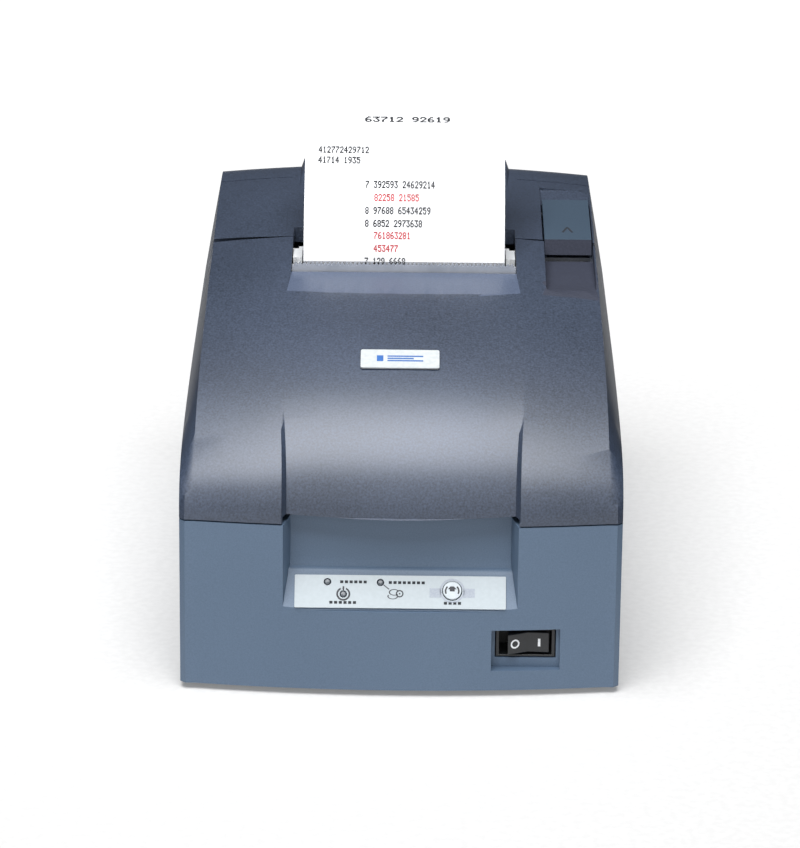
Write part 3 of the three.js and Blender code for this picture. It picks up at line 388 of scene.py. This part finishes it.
def lacquered_board():
    """Green lacquer: glossy enough to show the lamp, with the weave and tracks beneath it."""
    made, place, shader = start("lacquered_circuit_board")
    weave = add(made, "ShaderNodeTexChecker", {
        "Vector": place, "Scale": per_metre(weave_mm),
        "Color1": linear("2a5b3c"), "Color2": linear("2f6342")})
    tracks = add(made, "ShaderNodeTexBrick", {
        "Vector": place, "Scale": per_metre(track_mm),
        "Color1": linear("2b5c3c"), "Color2": linear("336a48"),
        "Mortar": linear("3f7a55")})
    both = add(made, "ShaderNodeMix", {0: 0.5, 6: weave.outputs["Color"], 7: tracks.outputs["Color"]},
               data_type="RGBA")
    drive(made, both.outputs[2], shader, "Base Color")
    shader.inputs["Roughness"].default_value = 0.35
    return made


circuit_board = lacquered_board()
print("board made; materials in the file:", len(bpy.data.materials))

# %% [markdown]
# ## Finishing the solid parts
# The solid parts come with hard edges. On a real moulding every edge has a small radius, which
# catches a thin line of light. Welding the vertices, a small bevel and weighted normals give that,
# as modifiers, so the part itself isn't changed. Small or hidden parts get no bevel, only clean
# shading that breaks at their creases.

# %% Which part has which finish
finishes = {
    case_abs: ["lower_case"],
    cover_abs: ["front_cover", "roll_cover"],
    lever_abs: ["open_lever"],
    black_abs: ["switch_housing", "rocker", "carriage", "ribbon_cassette", "roll_bin",
                "data_connector", "power_inlet", "drawer_socket"],
    white_acetal: ["platen_frame", "platen_gear", "idler_gear", "motor_pulley", "idler_pulley",
                   "ribbon_knob"],
    label_film: ["panel_label"],
    badge_enamel: ["badge"],
    button_film: ["feed_button"],
    smoked_lens: ["led_error", "led_paper_out", "led_power"],
    bar_steel: ["tear_bar"],
    black_steel: ["lever_pin"],
    plated_steel: ["base_plate", "chassis", "carriage_motor", "feed_motor", "feed_pinion",
                   "interface_card", "base_screw_1", "base_screw_2", "base_screw_3", "base_screw_4",
                   "card_screw_1", "card_screw_2"],
    ground_steel: ["guide_shaft_front", "guide_shaft_rear", "hood_pin_left", "hood_pin_right",
                   "cover_pin_left", "cover_pin_right"],
    cast_alloy: ["print_head"],
    black_rubber: ["foot_1", "foot_2", "foot_3", "foot_4", "platen_roller", "timing_belt"],
    inked_nylon: ["ribbon_band"],
    sheet_paper: ["paper_strip", "paper_web"],
    roll_paper: ["paper_roll"],
    circuit_board: ["main_board", "panel_board"],
}
# Millimetres, for the parts whose edges can be seen.
edge_radius = {
    "lower_case": 0.5, "front_cover": 0.5, "roll_cover": 0.5, "open_lever": 0.6, "rocker": 0.35,
    "switch_housing": 0.25, "badge": 0.15, "feed_button": 0.25, "panel_label": 0.1,
    "platen_frame": 0.3, "carriage": 0.4, "print_head": 0.3, "ribbon_cassette": 0.6,
    "foot_1": 0.5, "foot_2": 0.5, "foot_3": 0.5, "foot_4": 0.5, "data_connector": 0.3,
    "power_inlet": 0.3, "drawer_socket": 0.3, "ribbon_knob": 0.2, "base_plate": 0.3,
}
for name in ("led_error", "led_paper_out", "led_power"):
    edge_radius[name] = 0.3
print(len(finishes), "finishes;", len(edge_radius), "parts with rounded edges")

# %% Rounding the edges and giving the finishes
crease = math.radians(32)


def soften(part, radius_mm):
    """Rounds a solid part's hard edges without changing the part: weld, bevel, even normals."""
    for polygon in part.data.polygons:
        polygon.use_smooth = True
    part.modifiers.new("weld", "WELD").merge_threshold = 0.001 * mm
    if radius_mm:
        bevel = part.modifiers.new("edge_radius", "BEVEL")
        bevel.width = radius_mm * mm
        bevel.segments = 2
        bevel.limit_method = "ANGLE"
        bevel.angle_limit = crease
    else:
        part.modifiers.new("creases", "EDGE_SPLIT").split_angle = crease
    part.modifiers.new("even_normals", "WEIGHTED_NORMAL").keep_sharp = True


for material, names in finishes.items():
    for name in names:
        part = nodes[name]
        part.data.materials.clear()
        part.data.materials.append(material)
        soften(part, edge_radius.get(name, 0))
unfinished = set(nodes) - {n for names in finishes.values() for n in names}
print("finished", len(nodes) - len(unfinished), "parts; left:", sorted(unfinished))

# %% [markdown]
# ## Places with a second material
# Three places on the covers look different from the rest of their part: the flat in front of the
# paper slot, the dip for a fingertip in front of the lever, and the lever's front lip. The flat is
# paler and a little shinier. The dip and the lip are darker, and that darker colour is painted shade:
# the dip lies in shade, and the lip stays dark although it tilts toward the lamp. A separate piece
# laid on top would show an edge, so the part's own faces are given a second material instead. Each
# place is found by where it lies and which way it faces, measured from the tear bar, the paper and
# the lever.

# %% Second materials, two of them painted shade
bar_to_slot = 0.9 * mm  # the slot's front edge lies this far ahead of the tear bar
flat_depth = 19.4 * mm  # from that edge to the front of the flat, along its middle
flat_bow = 3 * mm  # how far the front of the flat has come back at its corners
flat_half_width = 44.1 * mm
flat_margin = 4.5 * mm  # the flat is wider than the paper by this much at each side
flat_flare = 1.6 * mm  # and by this much more at its front
dip_side = 1 * mm  # room beside the lever
dip_rise = 2 * mm  # the dip lies lower than this above the lever's underside
dip_front = -30 * mm  # ahead of this the cover curves down
lip_depth = 3.5 * mm  # how far back the lever's lip reaches


def refinish(name, chosen, material):
    """Gives some faces of a part a second material. The part itself stays as it is."""
    mesh = nodes[name].data
    mesh.materials.append(material)
    for face in mesh.polygons:
        if chosen(face):
            face.material_index = len(mesh.materials) - 1


slot_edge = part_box("tear_bar")[0].y - bar_to_slot
lever_low, lever_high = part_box("open_lever")
strip_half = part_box("paper_strip")[1].x


def in_slot_scoop(face):
    """The flat in front of the slot. Its front edge bows, and it widens toward that edge."""
    front = slot_edge - flat_depth + flat_bow * (face.center.x / flat_half_width) ** 2
    ahead = (slot_edge - face.center.y) / flat_depth
    within = abs(face.center.x) < strip_half + flat_margin + flat_flare * ahead
    return within and front < face.center.y < slot_edge + bar_to_slot and face.normal.z > 0.9


def in_lever_scoop(face):
    """The dip in front of the lever: about as wide as the lever, low down, and facing up."""
    within = lever_low.x - dip_side < face.center.x < lever_high.x + dip_side
    low = face.center.z < lever_low.z + dip_rise
    return within and low and face.normal.z > 0.2 and face.center.y > dip_front


def on_lever_lip(face):
    """The lever's front edge, apart from its underside."""
    return face.center.y < lever_low.y + lip_depth and face.normal.z > -0.2


refinish("front_cover", in_slot_scoop, scoop_abs)
# Painted shade: the dip and the lever's lip get darker copies of their plastic.
refinish("front_cover", in_lever_scoop, painted_shade_scoop_abs)
refinish("open_lever", on_lever_lip, painted_shade_lip_abs)
for name in ("front_cover", "open_lever"):
    second = sum(face.material_index > 0 for face in nodes[name].data.polygons)
    print(name, "has", second, "faces with a second finish")

# %% [markdown]
# ## Marks printed on the parts
# The label, the badge, the switch and the paper carry printed marks. Ink has next to no thickness,
# so each mark is a very thin solid laid on the surface. A mark is drawn flat as a few outlines, in
# millimetres, and a place function puts it on the part. The lettering of the real thing is left
# out: plain bars stand where words were.

# %% Drawing flat marks
ink_mm = 0.04
clear_mm = 0.005  # how far a mark stands off its face


def bar(u0, v0, u1, v1, width):
    """A straight stroke between two points, as one four-sided outline."""
    along = Vector((u1 - u0, v1 - v0)).normalized() * (width / 2)
    side = Vector((-along.y, along.x))
    return [[(u0 - side.x, v0 - side.y), (u1 - side.x, v1 - side.y),
             (u1 + side.x, v1 + side.y), (u0 + side.x, v0 + side.y)]]


def ring(u, v, inner, outer, start_deg=0, end_deg=360, steps=24, squash=1.0):
    """A ring or an arc of one, as a run of four-sided outlines."""
    pieces = []
    for i in range(steps):
        a = math.radians(start_deg + (end_deg - start_deg) * i / steps)
        b = math.radians(start_deg + (end_deg - start_deg) * (i + 1) / steps)
        pieces.append([(u + r * math.cos(t), v + squash * r * math.sin(t))
                       for r, t in ((inner, a), (outer, a), (outer, b), (inner, b))])
    return pieces


def disc(u, v, radius, steps=24):
    """A filled circle, as one outline."""
    turn = 2 * math.pi / steps
    return [[(u + radius * math.cos(i * turn), v + radius * math.sin(i * turn))
             for i in range(steps)]]


def block(u0, u1, v0, v1):
    """A filled rectangle, as one outline."""
    return [[(u0, v0), (u1, v0), (u1, v1), (u0, v1)]]


def print_mark(name, outlines, put, material, body):
    """Lays flat outlines on a part: put(u, v, lift) gives the point for each corner."""
    sheet = bmesh.new()
    for outline in outlines:
        sheet.faces.new([sheet.verts.new((u, v, 0)) for u, v in outline])
    bmesh.ops.remove_doubles(sheet, verts=sheet.verts, dist=0.002)
    bmesh.ops.recalc_face_normals(sheet, faces=sheet.faces)
    for face in sheet.faces:
        if face.normal.z < 0:
            face.normal_flip()
    under = sheet.faces[:]
    raised = bmesh.ops.extrude_face_region(sheet, geom=under, use_keep_orig=True)["geom"]
    for corner in [g for g in raised if isinstance(g, bmesh.types.BMVert)]:
        corner.co.z = ink_mm
    for face in under:
        face.normal_flip()
    for corner in sheet.verts:
        corner.co = put(corner.co.x, corner.co.y, corner.co.z)
    bmesh.ops.recalc_face_normals(sheet, faces=sheet.faces)
    mesh = bpy.data.meshes.new(name)
    sheet.to_mesh(mesh)
    sheet.free()
    mesh.materials.append(material)
    made = bpy.data.objects.new(name, mesh)
    bpy.context.scene.collection.objects.link(made)
    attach(made, body)
    print("printed", name, "with", len(outlines), "outlines")
    return made


# %% [markdown]
# ## Where a mark lands
# The label slopes, the badge is nearly flat and the paper curls, so a mark needs the true surface
# under it. A line is sent at the part, and where it first meets the part gives the point and the
# way that the surface faces. Measuring is safer than working out each slope by hand, because it
# still holds when the part's shape is changed.

# %% Finding the surface of a part
surfaces = {}


def surface_at(part, origin, direction):
    """The point and outward normal where a line first meets a part."""
    if part not in surfaces:
        mesh = nodes[part].data
        surfaces[part] = BVHTree.FromPolygons(
            [v.co for v in mesh.vertices], [p.vertices for p in mesh.polygons])
    point, normal, _, _ = surfaces[part].ray_cast(Vector(origin), Vector(direction))
    return point, normal


def flat_place(part, origin, direction):
    """A place function for a flat face: u runs to the right, v up the face, in millimetres."""
    point, out = surface_at(part, origin, direction)
    across = Vector((1, 0, 0))
    across = (across - out * across.dot(out)).normalized()
    up = out.cross(across)

    def put(u, v, lift):
        return point + (across * u + up * v + out * (lift + clear_mm)) * mm
    return put


badge_spot = surface_at("badge", (0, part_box("badge")[0].y + 1 * mm, 0.3), (0, 0, -1))[0]
print("the badge's top is at", [round(v, 4) for v in badge_spot])

# %% [markdown]
# ## The control label
# Three lamps, a feed button and their symbols sit on a pale film. The power symbol is a broken ring
# with a bar, the paper symbol is a roll with its end hanging, and the button has an arrow between
# two feed marks on a grey field. All are drawn in the label's own millimetres, measured from a bare
# spot of the film to the right of its middle, and each starts from the lamp or button it belongs to.
# Words are only rows of small blocks.

# %% The label's own millimetres
bare_spot = 34  # how far right of the label's middle the film is bare
label_low, label_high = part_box("panel_label")
label_middle = (label_low + label_high) / 2
panel_out = Vector((0, -(label_high.z - label_low.z), label_high.y - label_low.y)).normalized()
stand_off = panel_out * 20 * mm
spot = label_middle + Vector((bare_spot * mm, 0, 0))
on_label = flat_place("panel_label", spot + stand_off, -panel_out)


def on_film(part):
    """Where a lamp or button stands on the label, in label millimetres."""
    low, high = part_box(part)
    offset = (low + high) / 2 - label_middle
    up = Vector((0, panel_out.z, -panel_out.y))
    return offset.x / mm - bare_spot, offset.dot(up) / mm


error_u, error_v = on_film("led_error")
paper_u, paper_v = on_film("led_paper_out")
power_u, power_v = on_film("led_power")
feed_u, feed_v = on_film("feed_button")
print("button at", round(feed_u, 1), round(feed_v, 1), "mm on the label")

# %% Marks on the label
block_pitch = 1.7
block_width = 1.15
block_half_height = 0.52
legends = []
for first_u, count, v in ((error_u + 4.6, 6, error_v), (paper_u + 3.0, 8, paper_v),
                          (power_u - 5.0, 6, power_v - 3.2), (feed_u - 3.0, 4, feed_v - 4.7)):
    for i in range(count):
        left = first_u + block_pitch * i
        legends += block(left, left + block_width, v - block_half_height, v + block_half_height)
print_mark("label_legends", legends, on_label, soft_black_ink, "case")

symbols = ring(power_u, power_v, 1.9, 2.55, 115, 425)
symbols += bar(power_u, power_v + 1.4, power_u, power_v + 2.9, 0.6)
symbols += bar(paper_u + 1.1, paper_v - 0.9, paper_u + 3.2, paper_v - 2.6, 0.35)
roll_u, roll_v = paper_u + 7.0, paper_v - 4.2
symbols += ring(roll_u, roll_v, 0.95, 1.4) + disc(roll_u, roll_v, 0.3)
symbols += ring(roll_u - 2.0, roll_v + 0.5, 1.5, 1.95, 20, 320, squash=0.62)
symbols += ring(roll_u - 2.5, roll_v - 1.0, 1.5, 1.95, 150, 390, squash=0.58)
print_mark("label_symbols", symbols, on_label, black_ink, "case")

fields = block(feed_u - 8.2, feed_u - 4.0, feed_v - 2.6, feed_v + 0.9)
fields += block(feed_u + 4.0, feed_u + 8.2, feed_v - 2.6, feed_v + 0.9)
fields += ring(feed_u, feed_v, 3.9, 4.6)
print_mark("label_fields", fields, on_label, grey_ink, "case")

# %% The arrow on the button
button_low, button_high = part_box("feed_button")
on_button = flat_place("feed_button", (button_low + button_high) / 2 + stand_off, -panel_out)
arrow = [[(-1.6, 0.4), (1.6, 0.4), (0.6, 1.5), (-0.6, 1.5)]] + block(-0.9, 0.9, -0.4, 0.4)
arrow += ring(0, -0.3, 2.1, 2.7, 135, 205, 8) + ring(0, -0.3, 2.1, 2.7, -25, 45, 8)
print_mark("button_arrow", arrow, on_button, black_ink, "button")
# %% [markdown]
# ## Badge, lever and switch marks
# The badge carries a plain blue device of a sheet and three lines. The lever has a small pressed
# chevron that shows which way it lifts. The switch has the usual ring for off and bar for on. The
# same thin solids serve, each looked for from straight in front of its own face, so that each one
# follows the tilt of the badge, the lever and the rocker.

# %% Badge, chevron and switch marks
badge_low, badge_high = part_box("badge")
badge_middle = (badge_low + badge_high) / 2
on_badge = flat_place("badge", badge_middle + Vector((0, 0, 0.05)), (0, 0, -1))
device = block(-8.5, -6.1, -1.6, 1.6) + block(-4.6, 8.5, 0.9, 1.6) + block(-4.6, 5.0, -0.35, 0.35)
device += block(-4.6, 8.5, -1.6, -0.9)
print_mark("badge_device", device, on_badge, blue_ink, "hood")

chevron_place = Vector(((lever_low.x + lever_high.x) / 2, lever_low.y + 13.3 * mm, 0.3))
on_lever = flat_place("open_lever", chevron_place, (0, 0, -1))
chevron = bar(-1.9, -2.6, 0.0, 2.6, 0.8) + bar(0.0, 2.6, 1.9, -2.6, 0.8)
print_mark("lever_chevron", chevron, on_lever, black_ink, "lever")

rocker_low, rocker_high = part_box("rocker")
rocker_middle = (rocker_low + rocker_high) / 2
for name, shift, outlines in (("switch_off_ring", -4.9, ring(0, 0, 1.15, 1.75)),
                              ("switch_on_bar", 3.9, bar(0, -1.5, 0, 1.5, 0.9))):
    above = Vector((rocker_middle.x + shift * mm, rocker_low.y - 0.05, rocker_middle.z))
    on_rocker = flat_place("rocker", above, (0, 1, 0))
    print_mark(name, outlines, on_rocker, white_ink, "rocker")

# %% [markdown]
# ## The receipt
# The strip of paper stands up out of the slot, curling back a little because it comes off a roll.
# The solid strip is right in shape, so it stays. The print on it is made of small dots struck
# through a ribbon. Its words are left out: only figures are printed, in black and red, in the same
# layout of a heading, two lines of details and a list.

# %% Figures for the receipt
strip_low, strip_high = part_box("paper_strip")
# Each figure is five dots wide and seven high: one number a row, whose bits are the dots.
figure_dots = {
    "0": (14, 17, 19, 21, 25, 17, 14), "1": (4, 12, 4, 4, 4, 4, 14), "2": (14, 17, 1, 2, 4, 8, 31),
    "3": (31, 2, 4, 2, 1, 17, 14), "4": (2, 6, 10, 18, 31, 2, 2), "5": (31, 16, 30, 1, 1, 17, 14),
    "6": (6, 8, 16, 30, 17, 17, 14), "7": (31, 1, 2, 4, 8, 8, 8), "8": (14, 17, 17, 14, 17, 17, 14),
    "9": (14, 17, 17, 15, 1, 2, 12), " ": (0, 0, 0, 0, 0, 0, 0),
}


def strip_point(depth_mm):
    """The point on the front of the strip, and the way it faces, so far below its top edge."""
    height = strip_high.z - depth_mm * mm
    eye = Vector((0, strip_low.y - 0.2, height))
    return surface_at("paper_strip", eye, (0, 1, 0))


def on_strip(u, v, lift):
    """A place function for the curled strip: u from its middle, v down from its top edge."""
    point, out = strip_point(-v)
    return Vector((u * mm, point.y, point.z)) + out * (lift + clear_mm) * mm


dot_width, dot_height = 1.75, 1.3  # in cells: struck dots spread and run into each other


def figures(text, u, v, height, pitch):
    """A line of figures, each drawn as five columns and seven rows of dots."""
    outlines = []
    cell_u, cell_v = pitch * 0.15, height / 7
    for place, sign in enumerate(text):
        for row, bits in enumerate(figure_dots[sign]):
            for column in range(5):
                if bits >> (4 - column) & 1:
                    left = u + place * pitch + column * cell_u
                    top = v + height / 2 - row * cell_v
                    outlines += block(left, left + cell_u * dot_width, top - cell_v * dot_height, top)
    return outlines


print("one 8 has", len(figures("8", 0, 0, 2.1, 1.56)), "dots")

# %% [markdown]
# ## The lines of the receipt
# A receipt has a wide heading, a few lines of details and then a list, with some lines in red for
# what was taken off. Only that layout is kept. The figures themselves are thrown by a dice with a
# fixed start, so that they mean nothing and are the same each time.

# %% Printing the receipt
# Each line: its figures (0 is any figure), where it starts, how far down the strip, its height and pitch.
heading = [("00000 00000", -15.5, 1.5, 1.0, 3.0)]
black_lines = [
    ("000000000000", -33.0, 8.8, 1.7, 1.62), ("00000 0000", -33.0, 11.6, 1.8, 1.62),
    ("0 000000 00000000", -14.9, 18.6, 2.1, 1.56), ("0 00000 00000000", -14.9, 26.7, 2.2, 1.56),
    ("0 0000 0000000", -14.9, 30.9, 2.25, 1.56), ("0 000 0000", -14.9, 43.8, 2.4, 1.56),
]
red_lines = [("00000 00000", -11.5, 22.6, 2.15, 1.56), ("000000000", -11.5, 34.9, 2.3, 1.56),
             ("000000", -11.5, 39.3, 2.35, 1.56)]
dice = random.Random(7)


def line_outlines(lines):
    """All the dots of some lines, with each 0 swapped for a figure from 1 to 9."""
    outlines = []
    for text, u, depth, height, pitch in lines:
        shown = "".join(str(dice.randrange(1, 10)) if c == "0" else c for c in text)
        outlines += figures(shown, u, -depth, height, pitch)
    return outlines


print_mark("receipt_heading", line_outlines(heading), on_strip, soft_black_ink, "deck")
print_mark("receipt_print_black", line_outlines(black_lines), on_strip, soft_black_ink, "deck")
print_mark("receipt_print_red", line_outlines(red_lines), on_strip, red_ink, "deck")

# %% [markdown]
# ## The floor
# The printer stands on plain white. A wide sheet of matt white card is the floor. Its far end would
# fall off to grey, so it gives out a little light itself, more and more toward the back, as a light
# table does. The glow follows the floor's own Y axis, so it stays put whatever the view.

# %% Floor
floor_reach = 6  # metres, far past the edges of the view
glow_start, glow_end = -0.25, 0.95
glow_low, glow_high = 0.12, 0.8


def white_card():
    """Matt white card: no highlight, and an even tone. It glows a little, more toward the back."""
    made, place, shader = start("matt_white_card")
    grain = add(made, "ShaderNodeTexNoise", {"Vector": place, "Scale": per_metre(3)})
    drive(made, blend_ramp(made, grain.outputs["Fac"], "bebebe", "c4c4c4"), shader, "Base Color")
    shader.inputs["Roughness"].default_value = 0.9
    along = add(made, "ShaderNodeSeparateXYZ", {"Vector": place})
    glow = add(made, "ShaderNodeMapRange", {
        "Value": along.outputs["Y"], "From Min": glow_start, "From Max": glow_end,
        "To Min": glow_low, "To Max": glow_high})
    drive(made, glow.outputs["Result"], shader, "Emission Strength")
    shader.inputs["Emission Color"].default_value = (1, 1, 1, 1)
    return made


floor_mesh = bpy.data.meshes.new("floor")
floor_shape = bmesh.new()
bmesh.ops.create_grid(floor_shape, x_segments=8, y_segments=8, size=floor_reach)
floor_shape.to_mesh(floor_mesh)
floor_shape.free()
floor_mesh.materials.append(white_card())
floor = bpy.data.objects.new("floor", floor_mesh)
floor.location.z = cad_low.z
bpy.context.scene.collection.objects.link(floor)
print("floor at", round(cad_low.z, 4), "m")

# %% [markdown]
# ## A black card at each side
# A white floor shines in the satin sides of the case and washes them out. A black card at each
# side, just out of view, gives those sides something dark to reflect. The cards fan out toward the
# back, because the sides are seen at a slant. Each one shows only in reflections: it hides from the
# camera, throws no shadow and takes no part in the soft light.

# %% Black cards
card_near = (0.17, -0.2)
card_far = (0.27, 1.1)
card_height = 0.6


def black_card():
    """Black card: as dark and flat as can be, so that it shows only as something dark."""
    made, place, shader = start("black_flag_card")
    grain = add(made, "ShaderNodeTexNoise", {"Vector": place, "Scale": per_metre(3)})
    drive(made, blend_ramp(made, grain.outputs["Fac"], "060606", "0a0a0a"), shader, "Base Color")
    shader.inputs["Roughness"].default_value = 0.95
    return made


flag_card = black_card()
for side in (-1, 1):
    card_shape = bmesh.new()
    edge = [card_shape.verts.new((x * side, y, z)) for (x, y), z in
            ((card_near, 0.0), (card_far, 0.0), (card_far, card_height), (card_near, card_height))]
    card_shape.faces.new(edge)
    card_mesh = bpy.data.meshes.new("flag_mesh")
    card_shape.to_mesh(card_mesh)
    card_shape.free()
    card_mesh.materials.append(flag_card)
    flag = bpy.data.objects.new("flag_left" if side < 0 else "flag_right", card_mesh)
    flag.visible_camera = False
    flag.visible_shadow = False
    flag.visible_diffuse = False
    bpy.context.scene.collection.objects.link(flag)
print("two black cards stand", card_near[0], "to", card_far[0], "m from the middle")

# %% [markdown]
# ## Sizes, then finish
# The last step prints the box of the solid parts, as measured when they were loaded. The finishes
# and marks must not make the printer bigger than that box.

# %% Sizes, then finish
print("CAD box", [round(v, 4) for v in (*cad_low, *cad_high)])
